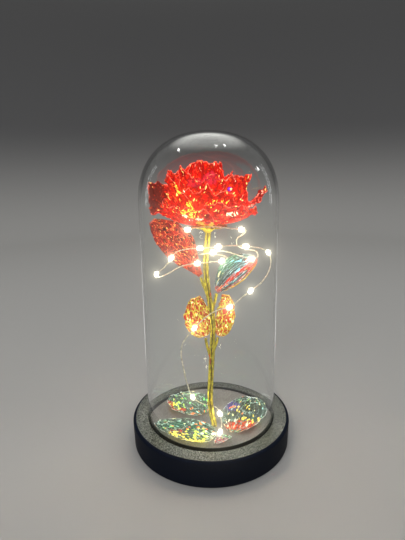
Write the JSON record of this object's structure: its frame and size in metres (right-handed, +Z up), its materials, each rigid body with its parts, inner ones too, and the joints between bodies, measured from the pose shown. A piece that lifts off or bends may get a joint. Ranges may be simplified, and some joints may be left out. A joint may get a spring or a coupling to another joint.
{
  "type": "artificial rose in a glass dome with string lights",
  "caption": "Red film rose with gold stem and crinkled leaves in a glass dome on a round black base, with a wire of small warm lights wound round it.",
  "frame": {"origin": "middle of the base's underside", "axes": "+Z up along the dome's axis, -Y towards the front"},
  "size_m": [0.1132, 0.1132, 0.215],
  "materials": {
    "base_black": "black satin paint with a fine grain",
    "cover_black": "matte black",
    "clear_glass": "clear polished blown glass",
    "gold_foil": "gold foil wrapped tight, bright and slightly creased",
    "red_film": "translucent red film with gold and pink glints, crinkled",
    "leaf_film": "translucent red and gold film, pleated and crinkled",
    "clear_film": "clear iridescent film, orange, green and violet by turns",
    "light_wire": "bright lacquered wire",
    "light_bead": "clear resin drop round a warm white light"
  },
  "bodies": {
    "root": {"base": "base_black", "battery_cover": "cover_black", "glass_dome": "clear_glass", "stem": "gold_foil", "calyx": "gold_foil", "bud": "red_film", "petal_1_1": "red_film", "petal_1_2": "red_film", "petal_1_3": "red_film", "petal_2_1": "red_film", "petal_2_2": "red_film", "petal_2_3": "red_film", "petal_2_4": "red_film", "petal_3_1": "red_film", "petal_3_2": "red_film", "petal_3_3": "red_film", "petal_3_4": "red_film", "petal_3_5": "red_film", "petal_4_1": "red_film", "petal_4_2": "red_film", "petal_4_3": "red_film", "petal_4_4": "red_film", "petal_4_5": "red_film", "petal_4_6": "red_film", "leaf_upper_left": "leaf_film", "leaf_upper_right": "leaf_film", "leaf_lower_left": "leaf_film", "leaf_lower_right": "leaf_film", "fallen_petal_1": "clear_film", "fallen_petal_2": "clear_film", "fallen_petal_3": "clear_film", "fallen_petal_4": "clear_film", "light_wire": "light_wire", "led_01": "light_bead", "led_02": "light_bead", "led_03": "light_bead", "led_04": "light_bead", "led_05": "light_bead", "led_06": "light_bead", "led_07": "light_bead", "led_08": "light_bead", "led_09": "light_bead", "led_10": "light_bead", "led_11": "light_bead", "led_12": "light_bead", "led_13": "light_bead", "led_14": "light_bead", "led_15": "light_bead", "led_16": "light_bead", "led_17": "light_bead", "led_18": "light_bead"}
  },
  "joints": []
}
